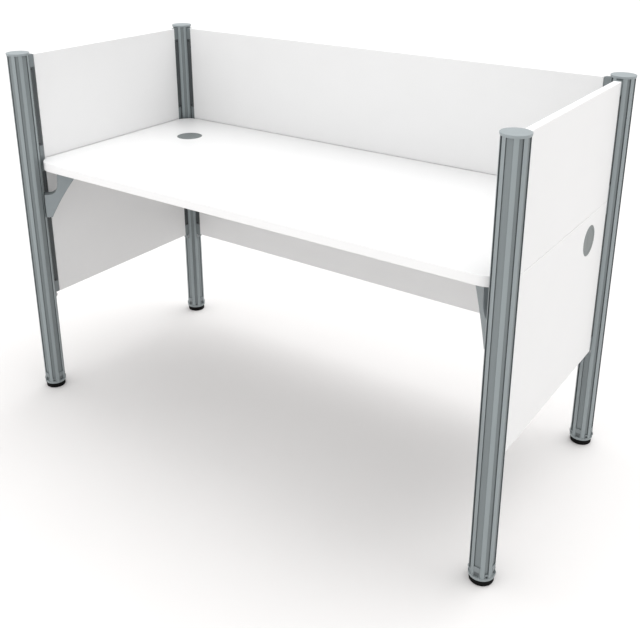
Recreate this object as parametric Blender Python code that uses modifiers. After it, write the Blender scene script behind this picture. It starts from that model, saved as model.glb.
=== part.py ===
"""Study carrel: four channelled aluminium posts carry a desktop, three privacy panels above it
and three modesty panels below it.

Frame: +Z up, +X to the sitter's right, +Y away from the sitter.
The origin is on the floor, at the centre of the footprint. Lengths are in metres.
"""

import math

import bmesh
import bpy
from mathutils import Matrix

# Driving dimensions
TOTAL_HEIGHT = 1.080
POST_SPACING_X = 1.512
POST_SPACING_Y = 0.674
POST_RADIUS = 0.0305
DESK_TOP_Z = 0.758
DESK_THICKNESS = 0.0265
PANEL_THICKNESS = 0.019
PANEL_TOP_Z = 1.070
PANEL_SEAM_Z = 0.757
PANEL_BOTTOM_Z = 0.317
PANEL_STANDOFF = 0.047  # post axis to the panel's upright edge

GAP = 0.0003  # clearance between touching pieces
TURN_STEPS = 32  # facets round a turned piece
SHARP_ANGLE = 30  # degrees between two faces that makes their edge sharp
BEVEL_ANGLE = 40
WELD_DISTANCE = 0.00001
CUT_MARGIN = 0.001  # how far a cutter runs past the face that it cuts

# Post section: open channels, wide ones square to the sides and narrow ones between them
CHANNEL_COUNT = 8
CHANNEL_STEP = 45  # degrees from one channel to the next
WIDE_CHANNEL = 0.0164
NARROW_CHANNEL = 0.0094
CHANNEL_FLOOR = 0.0270  # post axis to the flat floor of a channel
BORE_RADIUS = 0.0220
ARC_POINTS = 3  # points along the round rib between two channels

# Post ends
CAP_HEIGHT = 0.007
CAP_RADIUS = 0.0324
CAP_LOWER_RADIUS = 0.0312
CAP_EDGE = 0.0008
CAP_PLUG_DEPTH = 0.016
COLLAR_BOTTOM_Z = 0.016
COLLAR_FLANGE_HEIGHT = 0.007
COLLAR_RADIUS = 0.0318
COLLAR_EDGE = 0.0008
COLLAR_PLUG_HEIGHT = 0.029
WIDE_FINGER_HEIGHT = 0.028  # above the flange
NARROW_FINGER_HEIGHT = 0.011
FINGER_FACE = 0.0302  # post axis to the outer face of a finger
FINGER_BULGE = 0.0323  # post axis to the swollen lower part of a finger
BULGE_HEIGHTS = (0.001, 0.006, 0.0105)  # above the flange: where the bulge starts, thins and ends
WIDE_WINDOW_HEIGHT = 0.0135
NARROW_WINDOW_HEIGHT = 0.007
WINDOW_SILL = 0.0012  # flange top to the window
WINDOW_SIDE = 0.0012  # wall each side of a window

# Levelling feet
FOOT_RADIUS = 0.0293
FOOT_RIDGE_DEPTH = 0.0007
FOOT_RIDGES = 3
FOOT_RIDGE_SHARE = 0.7  # of the pitch; a groove takes the rest
FOOT_CHAMFER = 0.0015
STEM_RADIUS = 0.005
STEM_BOTTOM_Z = 0.005
STEM_TOP_Z = 0.056

# Panel edge hardware, seated in a wide channel and as wide as it
HARDWARE_WIDTH = WIDE_CHANNEL - 2 * GAP
CONNECTOR_HEIGHT = 0.037
SEAM_CONNECTOR_HEIGHT = 0.080
SEAM_CONNECTOR_SEAT = 0.033  # post axis to the back of the seam connector
CONNECTOR_ROUNDING = 0.003
CONNECTOR_ROUNDING_POINTS = 3
LUG_RADIUS = 0.0080
LUG_AXIS = 0.0300  # post axis to the centre of the lug's round nose
LUG_SWEEP = 150  # degrees of round nose, from straight down
LUG_POINTS = 10

# Desktop
DESK_SIDE_GAP = 0.0025
DESK_REAR_GAP = 0.0020
DESK_FRONT_Y = -0.327
DESK_CORNER_RADIUS = 0.054
DESK_EDGE_ROUNDING = 0.0020
CORNER_POINTS = 9
PANEL_EDGE_ROUNDING = 0.0008
PANEL_SEAM_GAP = 0.0008

# Corner brackets, in the upright plane that runs inward at 45 degrees from each post
BRACKET_THICKNESS = 0.030
BRACKET_FOOT_Z = 0.581
BRACKET_SHOULDER_Z = 0.653
BRACKET_HEEL = 0.0310  # post axis to the face against the post
BRACKET_TOE = 0.049
BRACKET_ARM_INNER = 0.074
BRACKET_ARM_LEAN = 0.002  # how far the arm's inner edge leans in above the crook
BRACKET_ARM_OUTER = 0.148
BRACKET_SWEEP = (0.085, 0.655)  # pulls the outer edge into its shallow curve
BRACKET_CROOK = (0.071, 0.653)  # pulls the inner edge round the crook
BRACKET_CROOK_START = 0.044
BRACKET_CROOK_END_Z = 0.690
BRACKET_CURVE_POINTS = 7
BRACKET_TONGUE_WIDTH = NARROW_CHANNEL - 2 * GAP
BRACKET_TONGUE_MARGIN = 0.002  # the tongue stops short of the heel's ends, and runs into the heel

# Cable grommets
GROMMET_HOLE_RADIUS = 0.0350
GROMMET_FLANGE_RADIUS = 0.0405
GROMMET_FLANGE_HEIGHT = 0.0022  # let into a rebate, so the flange lies just below the board's face
GROMMET_SINK = 0.0002
GROMMET_REBATE = GROMMET_FLANGE_HEIGHT + GROMMET_SINK + GAP
GROMMET_REBATE_RADIUS = GROMMET_FLANGE_RADIUS + GAP
GROMMET_WALL = 0.0028
GROMMET_SLEEVE_LENGTH = 0.0150
GROMMET_LEDGE = 0.0030  # how far the ledge under the lid reaches in
GROMMET_LEDGE_DEPTH = 0.0030
GROMMET_LEDGE_HEIGHT = 0.0015
GROMMET_EDGE = 0.0006
DESK_GROMMET = (-0.559, 0.141)  # x, y on the desktop
PANEL_GROMMET = (0.171, 0.686)  # y, z on the right modesty panel

HALF_X = POST_SPACING_X / 2
HALF_Y = POST_SPACING_Y / 2
POSTS = {
    "left_front": (-HALF_X, -HALF_Y),
    "right_front": (HALF_X, -HALF_Y),
    "left_rear": (-HALF_X, HALF_Y),
    "right_rear": (HALF_X, HALF_Y),
}
# Each panel edge: the post it meets, and the heading from that post towards the panel
PANEL_EDGES = {
    "left_front": ("left_front", 90),
    "left_rear": ("left_rear", -90),
    "back_left": ("left_rear", 0),
    "back_right": ("right_rear", 180),
    "right_front": ("right_front", 90),
    "right_rear": ("right_rear", -90),
}
INWARD_HEADING = {"left_front": 45, "right_front": 135, "left_rear": -45, "right_rear": -135}

COLLAR_FLANGE_TOP = COLLAR_BOTTOM_Z + COLLAR_FLANGE_HEIGHT
CAP_UNDERSIDE = TOTAL_HEIGHT - CAP_HEIGHT
DESK_UNDERSIDE = DESK_TOP_Z - DESK_THICKNESS
HARDWARE_BACK = CHANNEL_FLOOR + GAP
HARDWARE_FRONT = PANEL_STANDOFF - GAP


# Scene helpers

def clear_scene():
    for obj in list(bpy.data.objects):
        bpy.data.objects.remove(obj, do_unlink=True)


def make_collection(name):
    collection = bpy.data.collections.new(name)
    bpy.context.scene.collection.children.link(collection)
    return collection


def make_material(name, colour, roughness, metallic=0.0):
    material = bpy.data.materials.new(name)
    material.use_nodes = True
    shader = material.node_tree.nodes["Principled BSDF"]
    shader.inputs["Base Color"].default_value = (*colour, 1.0)
    shader.inputs["Roughness"].default_value = roughness
    shader.inputs["Metallic"].default_value = metallic
    material.diffuse_color = (*colour, 1.0)
    return material


def add_object(name, data, collection, material=None):
    obj = bpy.data.objects.new(name, data)
    collection.objects.link(obj)
    if material:
        data.materials.clear()
        data.materials.append(material)
    return obj


def add_part(name, mesh, material, location=(0, 0, 0), heading=0):
    """A finished piece: its own copy of the mesh, turned about Z and set in place."""
    obj = add_object(name, mesh.copy(), PARTS, material)
    obj.location = location
    obj.rotation_euler.z = math.radians(heading)
    return obj


def as_mesh(obj, smooth=False):
    """The object's evaluated shape as a plain mesh; the object itself is removed."""
    evaluated = obj.evaluated_get(bpy.context.evaluated_depsgraph_get())
    mesh = bpy.data.meshes.new_from_object(evaluated)
    weld = bmesh.new()
    weld.from_mesh(mesh)
    bmesh.ops.remove_doubles(weld, verts=weld.verts, dist=WELD_DISTANCE)
    weld.to_mesh(mesh)
    weld.free()
    bpy.data.objects.remove(obj, do_unlink=True)
    if smooth:
        mesh.shade_smooth()
        mesh.set_sharp_from_angle(angle=math.radians(SHARP_ANGLE))
    return mesh


# Shape helpers

def box_mesh(name, boxes):
    """Boxes given as (centre, size, heading about Z), in one mesh."""
    shape = bmesh.new()
    for centre, size, heading in boxes:
        turn = Matrix.Rotation(math.radians(heading), 4, "Z")
        place = turn @ Matrix.Translation(centre) @ Matrix.Diagonal((*size, 1.0))
        bmesh.ops.create_cube(shape, size=1.0, matrix=place)
    mesh = bpy.data.meshes.new(name)
    shape.to_mesh(mesh)
    shape.free()
    return mesh


def flat_outline(name, outlines, thickness):
    """A filled 2D curve in XY, extruded evenly about Z = 0; inner outlines are holes."""
    curve = bpy.data.curves.new(name, "CURVE")
    curve.dimensions = "2D"
    curve.fill_mode = "BOTH"
    curve.extrude = thickness / 2
    for outline in outlines:
        spline = curve.splines.new("POLY")
        spline.points.add(len(outline) - 1)
        for point, (x, y) in zip(spline.points, outline):
            point.co = (x, y, 0, 1)
        spline.use_cyclic_u = True
    return add_object(name, curve, GUIDES)


def upright_outline(name, outline, thickness):
    """A flat outline of (outward, height) points, stood up in the XZ plane."""
    obj = flat_outline(name, [outline], thickness)
    mesh = as_mesh(obj)
    mesh.transform(Matrix.Rotation(math.radians(90), 4, "X"))
    return mesh


def turned(name, profile, closed=False):
    """A (radius, height) profile spun about Z."""
    mesh = bpy.data.meshes.new(name)
    shape = bmesh.new()
    points = [shape.verts.new((radius, 0, height)) for radius, height in profile]
    for upper, lower in zip(points, points[1:]):
        shape.edges.new((upper, lower))
    if closed:
        shape.edges.new((points[-1], points[0]))
    shape.to_mesh(mesh)
    shape.free()
    obj = add_object(name, mesh, GUIDES)
    spin = obj.modifiers.new("spin", "SCREW")
    spin.steps = TURN_STEPS
    spin.render_steps = TURN_STEPS
    spin.use_merge_vertices = True
    spin.merge_threshold = WELD_DISTANCE
    return as_mesh(obj, smooth=True)


def boolean(mesh, operand, operation):
    """The mesh joined with, or cut by, the operand mesh."""
    body = add_object("body", mesh, GUIDES)
    tool = add_object("tool", operand, GUIDES)
    modifier = body.modifiers.new(operation.lower(), "BOOLEAN")
    modifier.operation = operation
    modifier.object = tool
    result = as_mesh(body, smooth=True)
    bpy.data.objects.remove(tool, do_unlink=True)
    return result


def rounded(mesh, width, segments=1):
    """The mesh with its sharp edges bevelled."""
    obj = add_object("rounded", mesh, GUIDES)
    bevel = obj.modifiers.new("bevel", "BEVEL")
    bevel.width = width
    bevel.segments = segments
    bevel.limit_method = "ANGLE"
    bevel.angle_limit = math.radians(BEVEL_ANGLE)
    return as_mesh(obj, smooth=True)


def circle(radius, count):
    angles = [math.tau * i / count for i in range(count)]
    return [(radius * math.cos(a), radius * math.sin(a)) for a in angles]


def bezier(start, pull, end, count):
    """Points after the start of a quadratic curve, up to and including its end."""
    points = []
    for i in range(1, count + 1):
        t = i / count
        weights = ((1 - t) ** 2, 2 * t * (1 - t), t**2)
        points.append(tuple(
            weights[0] * a + weights[1] * b + weights[2] * c for a, b, c in zip(start, pull, end)))
    return points


def rounded_rectangle(low, high, radius):
    """A rectangle's outline, counter-clockwise, with quarter-circle corners."""
    corners = [
        (high[0] - radius, low[1] + radius, -90),
        (high[0] - radius, high[1] - radius, 0),
        (low[0] + radius, high[1] - radius, 90),
        (low[0] + radius, low[1] + radius, 180),
    ]
    outline = []
    for x, y, first in corners:
        for i in range(CORNER_POINTS):
            angle = math.radians(first + 90 * i / (CORNER_POINTS - 1))
            outline.append((x + radius * math.cos(angle), y + radius * math.sin(angle)))
    return outline


# Posts and their ends

def post_outline():
    """The post's section: a channel, then a rib, for each channel round it."""
    outline = []
    for i in range(CHANNEL_COUNT):
        heading = math.radians(CHANNEL_STEP * i)
        half = (NARROW_CHANNEL if i % 2 else WIDE_CHANNEL) / 2
        next_half = (WIDE_CHANNEL if i % 2 else NARROW_CHANNEL) / 2
        lip = math.sqrt(POST_RADIUS**2 - half**2)
        for out, across in ((lip, -half), (CHANNEL_FLOOR, -half), (CHANNEL_FLOOR, half), (lip, half)):
            x = out * math.cos(heading) - across * math.sin(heading)
            y = out * math.sin(heading) + across * math.cos(heading)
            outline.append((x, y))
        first = heading + math.asin(half / POST_RADIUS)
        last = heading + math.radians(CHANNEL_STEP) - math.asin(next_half / POST_RADIUS)
        for step in range(1, ARC_POINTS + 1):
            angle = first + (last - first) * step / (ARC_POINTS + 1)
            outline.append((POST_RADIUS * math.cos(angle), POST_RADIUS * math.sin(angle)))
    return outline


def make_posts():
    bottom = COLLAR_FLANGE_TOP + GAP
    top = CAP_UNDERSIDE - GAP
    shape = flat_outline("post", [post_outline(), circle(BORE_RADIUS, TURN_STEPS)], top - bottom)
    mesh = as_mesh(shape, smooth=True)
    for corner, (x, y) in POSTS.items():
        add_part(f"post_{corner}", mesh, ALUMINIUM, (x, y, (top + bottom) / 2))


def make_caps():
    plug_radius = BORE_RADIUS - GAP
    profile = [
        (0, CAP_HEIGHT),
        (CAP_RADIUS - CAP_EDGE, CAP_HEIGHT),
        (CAP_RADIUS, CAP_HEIGHT - CAP_EDGE),
        (CAP_LOWER_RADIUS, 0),
        (plug_radius, 0),
        (plug_radius, -CAP_PLUG_DEPTH),
        (0, -CAP_PLUG_DEPTH),
    ]
    mesh = turned("cap", profile)
    for corner, (x, y) in POSTS.items():
        add_part(f"post_cap_{corner}", mesh, CAP_GREY, (x, y, CAP_UNDERSIDE))


def channel_size(i):
    """The width that fits the i-th channel, with clearance, and what the finger in it measures."""
    if i % 2:
        return NARROW_CHANNEL - 2 * GAP, NARROW_FINGER_HEIGHT, NARROW_WINDOW_HEIGHT
    return WIDE_CHANNEL - 2 * GAP, WIDE_FINGER_HEIGHT, WIDE_WINDOW_HEIGHT


def collar_fingers():
    """One finger up each channel; it swells outward just above the flange, and starts inside it."""
    base = COLLAR_FLANGE_HEIGHT
    start, thin, end = (base + height for height in BULGE_HEIGHTS)
    fingers = bmesh.new()
    for i in range(CHANNEL_COUNT):
        width, height, _ = channel_size(i)
        outline = [
            (HARDWARE_BACK, base / 2),
            (FINGER_FACE, base / 2),
            (FINGER_BULGE, start),
            (FINGER_BULGE, thin),
            (FINGER_FACE, end),
            (FINGER_FACE, base + height),
            (HARDWARE_BACK, base + height),
        ]
        finger = upright_outline("finger", outline, width)
        finger.transform(Matrix.Rotation(math.radians(CHANNEL_STEP * i), 4, "Z"))
        fingers.from_mesh(finger)
    mesh = bpy.data.meshes.new("fingers")
    fingers.to_mesh(mesh)
    fingers.free()
    return mesh


def collar_windows():
    """Boxes that open a window through each finger, just above the flange."""
    inner = HARDWARE_BACK - GAP
    outer = FINGER_BULGE + CUT_MARGIN
    boxes = []
    for i in range(CHANNEL_COUNT):
        width, _, height = channel_size(i)
        centre = ((inner + outer) / 2, 0, COLLAR_FLANGE_HEIGHT + WINDOW_SILL + height / 2)
        boxes.append((centre, (outer - inner, width - 2 * WINDOW_SIDE, height), CHANNEL_STEP * i))
    return box_mesh("windows", boxes)


def make_collars():
    """The plug in the post's foot: a flange under the post and a windowed finger up each channel."""
    plug_radius = BORE_RADIUS - GAP
    hole_radius = STEM_RADIUS + GAP
    profile = [
        (hole_radius, COLLAR_PLUG_HEIGHT),
        (plug_radius, COLLAR_PLUG_HEIGHT),
        (plug_radius, COLLAR_FLANGE_HEIGHT),
        (COLLAR_RADIUS - COLLAR_EDGE, COLLAR_FLANGE_HEIGHT),
        (COLLAR_RADIUS, COLLAR_FLANGE_HEIGHT - COLLAR_EDGE),
        (COLLAR_RADIUS, COLLAR_EDGE),
        (COLLAR_RADIUS - COLLAR_EDGE, 0),
        (hole_radius, 0),
    ]
    ring = turned("collar", profile, closed=True)
    mesh = boolean(boolean(ring, collar_fingers(), "UNION"), collar_windows(), "DIFFERENCE")
    for corner, (x, y) in POSTS.items():
        add_part(f"foot_collar_{corner}", mesh, CAP_GREY, (x, y, COLLAR_BOTTOM_Z))


def foot_pad():
    """A disc with a ribbed rim and a blind hole for the stem."""
    pad_top = COLLAR_BOTTOM_Z - GAP
    rim_top = pad_top - FOOT_CHAMFER / 2
    pitch = (rim_top - FOOT_CHAMFER) / FOOT_RIDGES
    hole_radius = STEM_RADIUS + GAP
    hole_bottom = STEM_BOTTOM_Z - GAP
    profile = [
        (0, hole_bottom),
        (hole_radius, hole_bottom),
        (hole_radius, pad_top),
        (FOOT_RADIUS - FOOT_CHAMFER / 2, pad_top),
    ]
    for i in range(FOOT_RIDGES):
        upper = rim_top - i * pitch
        lower = upper - FOOT_RIDGE_SHARE * pitch
        profile.append((FOOT_RADIUS, upper))
        profile.append((FOOT_RADIUS, lower))
        if i < FOOT_RIDGES - 1:
            profile.append((FOOT_RADIUS - FOOT_RIDGE_DEPTH, (lower + upper - pitch) / 2))
    profile.append((FOOT_RADIUS - FOOT_CHAMFER, 0))
    profile.append((0, 0))
    return turned("foot_pad", profile)


def foot_stem():
    """The threaded rod, as a plain one."""
    profile = [(0, STEM_TOP_Z), (STEM_RADIUS, STEM_TOP_Z), (STEM_RADIUS, STEM_BOTTOM_Z), (0, STEM_BOTTOM_Z)]
    return turned("foot_stem", profile)


def make_feet():
    """A ribbed pad on a threaded stem that screws up into the collar."""
    pad = foot_pad()
    stem = foot_stem()
    for corner, (x, y) in POSTS.items():
        add_part(f"foot_pad_{corner}", pad, BLACK_PLASTIC, (x, y, 0))
        add_part(f"foot_stem_{corner}", stem, STEEL, (x, y, 0))


# Panel edge hardware

def top_connector():
    low = PANEL_TOP_Z - CONNECTOR_HEIGHT
    corner = (HARDWARE_FRONT, PANEL_TOP_Z)
    outline = [
        (HARDWARE_BACK, low),
        (HARDWARE_FRONT, low),
        (HARDWARE_FRONT, PANEL_TOP_Z - CONNECTOR_ROUNDING),
    ]
    rounding_end = (HARDWARE_FRONT - CONNECTOR_ROUNDING, PANEL_TOP_Z)
    outline += bezier(outline[-1], corner, rounding_end, CONNECTOR_ROUNDING_POINTS)
    outline.append((HARDWARE_BACK, PANEL_TOP_Z))
    return upright_outline("top_connector", outline, HARDWARE_WIDTH)


def seam_connector():
    low = PANEL_SEAM_Z - SEAM_CONNECTOR_HEIGHT / 2
    high = PANEL_SEAM_Z + SEAM_CONNECTOR_HEIGHT / 2
    outline = [
        (SEAM_CONNECTOR_SEAT, low),
        (HARDWARE_FRONT, low),
        (HARDWARE_FRONT, high),
        (SEAM_CONNECTOR_SEAT, high),
    ]
    return upright_outline("seam_connector", outline, HARDWARE_WIDTH)


def bottom_connector():
    """A block beside the panel's lower corner, with a round-nosed lug that hangs below it."""
    high = PANEL_BOTTOM_Z + CONNECTOR_HEIGHT
    lug_z = PANEL_BOTTOM_Z - LUG_RADIUS
    outline = [(HARDWARE_BACK, high), (HARDWARE_BACK, lug_z - LUG_RADIUS)]
    for i in range(LUG_POINTS):
        angle = math.radians(LUG_SWEEP * i / (LUG_POINTS - 1))
        outline.append((LUG_AXIS + LUG_RADIUS * math.sin(angle), lug_z - LUG_RADIUS * math.cos(angle)))
    outline.append((LUG_AXIS + LUG_RADIUS / 2, PANEL_BOTTOM_Z))
    outline.append((HARDWARE_FRONT, PANEL_BOTTOM_Z))
    outline.append((HARDWARE_FRONT, high))
    return upright_outline("bottom_connector", outline, HARDWARE_WIDTH)


def filler_strip():
    """The strip that closes the slot between post and panel, thinned behind the seam connector."""
    low = PANEL_BOTTOM_Z + CONNECTOR_HEIGHT + GAP
    high = PANEL_TOP_Z - CONNECTOR_HEIGHT - GAP
    notch_low = PANEL_SEAM_Z - SEAM_CONNECTOR_HEIGHT / 2 - GAP
    notch_high = PANEL_SEAM_Z + SEAM_CONNECTOR_HEIGHT / 2 + GAP
    seat = SEAM_CONNECTOR_SEAT - GAP
    outline = [
        (HARDWARE_BACK, low),
        (HARDWARE_FRONT, low),
        (HARDWARE_FRONT, notch_low),
        (seat, notch_low),
        (seat, notch_high),
        (HARDWARE_FRONT, notch_high),
        (HARDWARE_FRONT, high),
        (HARDWARE_BACK, high),
    ]
    return upright_outline("filler_strip", outline, HARDWARE_WIDTH)


def make_panel_hardware():
    pieces = {
        "top_connector": (top_connector(), ALUMINIUM),
        "seam_connector": (seam_connector(), ALUMINIUM),
        "bottom_connector": (bottom_connector(), ALUMINIUM),
        "filler_strip": (filler_strip(), CHARCOAL),
    }
    for kind, (mesh, material) in pieces.items():
        for edge, (corner, heading) in PANEL_EDGES.items():
            add_part(f"{kind}_{edge}", mesh, material, (*POSTS[corner], 0), heading)


# Panels and desktop

def grommet_cut(mesh, place, thickness):
    """The board with a grommet's hole and rebate; place puts +Z out of the board's face."""
    profile = [
        (0, CUT_MARGIN),
        (GROMMET_REBATE_RADIUS, CUT_MARGIN),
        (GROMMET_REBATE_RADIUS, -GROMMET_REBATE),
        (GROMMET_HOLE_RADIUS, -GROMMET_REBATE),
        (GROMMET_HOLE_RADIUS, -thickness - CUT_MARGIN),
        (0, -thickness - CUT_MARGIN),
    ]
    cutter = turned("grommet_cutter", profile)
    cutter.transform(place)
    return boolean(mesh, cutter, "DIFFERENCE")


def upright_board(name, length, bottom, top):
    """A board that stands on its edge, along X and about Y = 0."""
    half = length / 2
    outline = [(-half, bottom), (half, bottom), (half, top), (-half, top)]
    return rounded(upright_outline(name, outline, PANEL_THICKNESS), PANEL_EDGE_ROUNDING)


def make_panels():
    side_length = POST_SPACING_Y - 2 * PANEL_STANDOFF
    back_length = POST_SPACING_X - 2 * PANEL_STANDOFF
    upper_bottom = PANEL_SEAM_Z + PANEL_SEAM_GAP / 2
    lower_top = PANEL_SEAM_Z - PANEL_SEAM_GAP / 2
    sides = {
        "left": (side_length, (-HALF_X, 0, 0), 90),
        "right": (side_length, (HALF_X, 0, 0), 90),
        "back": (back_length, (0, HALF_Y, 0), 0),
    }
    for side, (length, location, heading) in sides.items():
        upper = upright_board("privacy_panel", length, upper_bottom, PANEL_TOP_Z)
        lower = upright_board("modesty_panel", length, PANEL_BOTTOM_Z, lower_top)
        if side == "right":
            grommet_y, grommet_z = PANEL_GROMMET
            outer_face = Matrix.Translation((grommet_y, -PANEL_THICKNESS / 2, grommet_z))
            place = outer_face @ Matrix.Rotation(math.radians(90), 4, "X")
            lower = grommet_cut(lower, place, PANEL_THICKNESS)
        add_part(f"privacy_panel_{side}", upper, LAMINATE, location, heading)
        add_part(f"modesty_panel_{side}", lower, LAMINATE, location, heading)


def make_desktop():
    half_width = HALF_X - PANEL_THICKNESS / 2 - DESK_SIDE_GAP
    rear = HALF_Y - PANEL_THICKNESS / 2 - DESK_REAR_GAP
    outline = rounded_rectangle((-half_width, DESK_FRONT_Y), (half_width, rear), DESK_CORNER_RADIUS)
    mesh = as_mesh(flat_outline("desktop", [outline], DESK_THICKNESS))
    mesh = rounded(mesh, DESK_EDGE_ROUNDING, segments=2)
    top_face = Matrix.Translation((*DESK_GROMMET, DESK_THICKNESS / 2))
    mesh = grommet_cut(mesh, top_face, DESK_THICKNESS)
    add_part("desktop", mesh, LAMINATE, (0, 0, DESK_TOP_Z - DESK_THICKNESS / 2))


def bracket_outline():
    """The arm's (outward, height) outline: heel, shallow outer sweep, flat top and inner crook."""
    arm_top = DESK_UNDERSIDE - GAP
    outline = [(BRACKET_HEEL, BRACKET_FOOT_Z), (BRACKET_TOE, BRACKET_FOOT_Z)]
    sweep_end = (BRACKET_ARM_OUTER, arm_top)
    outline += bezier(outline[-1], BRACKET_SWEEP, sweep_end, BRACKET_CURVE_POINTS)
    outline.append((BRACKET_ARM_INNER, arm_top))
    outline.append((BRACKET_ARM_INNER - BRACKET_ARM_LEAN, BRACKET_CROOK_END_Z))
    crook_end = (BRACKET_CROOK_START, BRACKET_SHOULDER_Z)
    outline += bezier(outline[-1], BRACKET_CROOK, crook_end, BRACKET_CURVE_POINTS)
    outline.append((BRACKET_HEEL, BRACKET_SHOULDER_Z))
    return outline


def bracket_tongue():
    """The narrow strip behind the heel that seats in the post's channel."""
    front = BRACKET_HEEL + BRACKET_TONGUE_MARGIN
    height = BRACKET_SHOULDER_Z - BRACKET_FOOT_Z - 2 * BRACKET_TONGUE_MARGIN
    centre = ((HARDWARE_BACK + front) / 2, 0, (BRACKET_SHOULDER_Z + BRACKET_FOOT_Z) / 2)
    return box_mesh("tongue", [(centre, (front - HARDWARE_BACK, BRACKET_TONGUE_WIDTH, height), 0)])


def make_brackets():
    """A curved arm from each post's inward channel to the desktop's underside."""
    arm = upright_outline("bracket", bracket_outline(), BRACKET_THICKNESS)
    mesh = boolean(arm, bracket_tongue(), "UNION")
    for corner, (x, y) in POSTS.items():
        add_part(f"desk_bracket_{corner}", mesh, ALUMINIUM, (x, y, 0), INWARD_HEADING[corner])


# Cable grommets

def grommet_liner():
    """A flanged sleeve with a ledge inside for the lid; the board's face is at Z = 0."""
    outer = GROMMET_HOLE_RADIUS - GAP
    inner = outer - GROMMET_WALL
    ledge = inner - GROMMET_LEDGE
    flange_top = -GROMMET_SINK
    flange_low = flange_top - GROMMET_FLANGE_HEIGHT
    ledge_top = flange_top - GROMMET_LEDGE_DEPTH
    ledge_low = ledge_top - GROMMET_LEDGE_HEIGHT
    profile = [
        (inner, flange_top),
        (GROMMET_FLANGE_RADIUS - GROMMET_EDGE, flange_top),
        (GROMMET_FLANGE_RADIUS, flange_top - GROMMET_EDGE),
        (GROMMET_FLANGE_RADIUS, flange_low),
        (outer, flange_low),
        (outer, -GROMMET_SLEEVE_LENGTH),
        (inner, -GROMMET_SLEEVE_LENGTH),
        (inner, ledge_low),
        (ledge, ledge_low),
        (ledge, ledge_top),
        (inner, ledge_top),
    ]
    return turned("grommet_liner", profile, closed=True)


def grommet_lid():
    """The disc that rests on the ledge, its face a little below the flange's."""
    radius = GROMMET_HOLE_RADIUS - GROMMET_WALL - 2 * GAP
    top = -2 * GROMMET_SINK
    bottom = -GROMMET_SINK - GROMMET_LEDGE_DEPTH + GAP
    profile = [
        (0, top),
        (radius - GROMMET_EDGE, top),
        (radius, top - GROMMET_EDGE),
        (radius, bottom),
        (0, bottom),
    ]
    return turned("grommet_lid", profile)


def make_grommets():
    face_x = HALF_X + PANEL_THICKNESS / 2
    places = {
        "desk": ((*DESK_GROMMET, DESK_TOP_Z), 0),
        "panel": ((face_x, *PANEL_GROMMET), 90),
    }
    pieces = {"grommet_liner": grommet_liner(), "grommet_lid": grommet_lid()}
    for place, (location, tilt) in places.items():
        for kind, mesh in pieces.items():
            obj = add_part(f"{place}_{kind}", mesh, GROMMET_GREY, location)
            obj.rotation_euler.y = math.radians(tilt)


clear_scene()
PARTS = make_collection("study_carrel")
GUIDES = make_collection("guides")
ALUMINIUM = make_material("aluminium", (0.36, 0.39, 0.40), 0.45, 0.6)
CAP_GREY = make_material("cap_grey", (0.42, 0.45, 0.46), 0.5)
CHARCOAL = make_material("charcoal", (0.07, 0.075, 0.08), 0.6)
LAMINATE = make_material("white_laminate", (0.86, 0.86, 0.86), 0.4)
BLACK_PLASTIC = make_material("black_plastic", (0.012, 0.012, 0.013), 0.5)
GROMMET_GREY = make_material("grommet_grey", (0.24, 0.26, 0.26), 0.5)
STEEL = make_material("zinc_steel", (0.55, 0.56, 0.57), 0.35, 1.0)

make_posts()
make_caps()
make_collars()
make_feet()
make_panel_hardware()
make_panels()
make_desktop()
make_brackets()
make_grommets()
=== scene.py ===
"""Study carrel: the finished look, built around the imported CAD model.

Frame: +Z up, +X to the sitter's right, +Y away from the sitter. Lengths are in metres.
Each piece stands for a CAD node of the same place and size, and takes both from the node's box.
"""

import math

import bmesh
import bpy
from mathutils import Matrix, Vector


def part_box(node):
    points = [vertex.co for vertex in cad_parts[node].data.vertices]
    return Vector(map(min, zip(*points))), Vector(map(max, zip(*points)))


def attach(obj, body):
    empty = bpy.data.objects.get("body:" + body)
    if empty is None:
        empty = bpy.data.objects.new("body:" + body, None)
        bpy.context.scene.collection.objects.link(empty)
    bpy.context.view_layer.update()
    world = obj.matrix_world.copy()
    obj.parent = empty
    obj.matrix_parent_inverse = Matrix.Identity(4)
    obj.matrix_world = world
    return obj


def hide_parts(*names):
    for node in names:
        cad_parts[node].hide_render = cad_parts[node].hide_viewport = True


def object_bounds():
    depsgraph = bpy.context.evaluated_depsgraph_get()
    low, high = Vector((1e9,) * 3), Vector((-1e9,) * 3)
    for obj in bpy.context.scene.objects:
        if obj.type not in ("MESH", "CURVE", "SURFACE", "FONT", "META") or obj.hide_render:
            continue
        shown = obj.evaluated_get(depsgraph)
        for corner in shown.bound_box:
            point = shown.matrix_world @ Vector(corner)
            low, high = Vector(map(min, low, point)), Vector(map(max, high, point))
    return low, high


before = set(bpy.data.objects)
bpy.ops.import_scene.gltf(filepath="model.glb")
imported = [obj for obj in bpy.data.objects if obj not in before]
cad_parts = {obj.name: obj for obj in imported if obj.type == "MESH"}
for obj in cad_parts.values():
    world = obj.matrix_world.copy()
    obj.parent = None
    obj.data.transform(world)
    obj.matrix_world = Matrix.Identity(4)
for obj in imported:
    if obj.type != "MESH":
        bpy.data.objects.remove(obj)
cad_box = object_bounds()

CARREL = "carrel"
GAP = 0.0003  # clearance between touching pieces, as in the CAD
TURN_STEPS = 96
WELD_DISTANCE = 0.00001
CUT_MARGIN = 0.001  # how far a cutter runs past the face that it cuts
SHARP_ANGLE = math.radians(40)
CORNER_ANGLE = math.radians(25)  # an outline turns at least this far where it has a corner
ROUNDING_STEPS = 3
ROUNDING_SHARE = 0.45  # the most of a side that a rounded corner takes up
RIM_POINTS = 5  # points along the rounded rim of a turned shape
FINE_RIM_POINTS = 4
MIDDLE = 0.0005  # radius of the flat disc that closes a turned shape at its axis
FLAT = 0.99  # how squarely a face looks along a direction, from -1 to 1
SQUARE = 0.9
MOSTLY = 0.5

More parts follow.
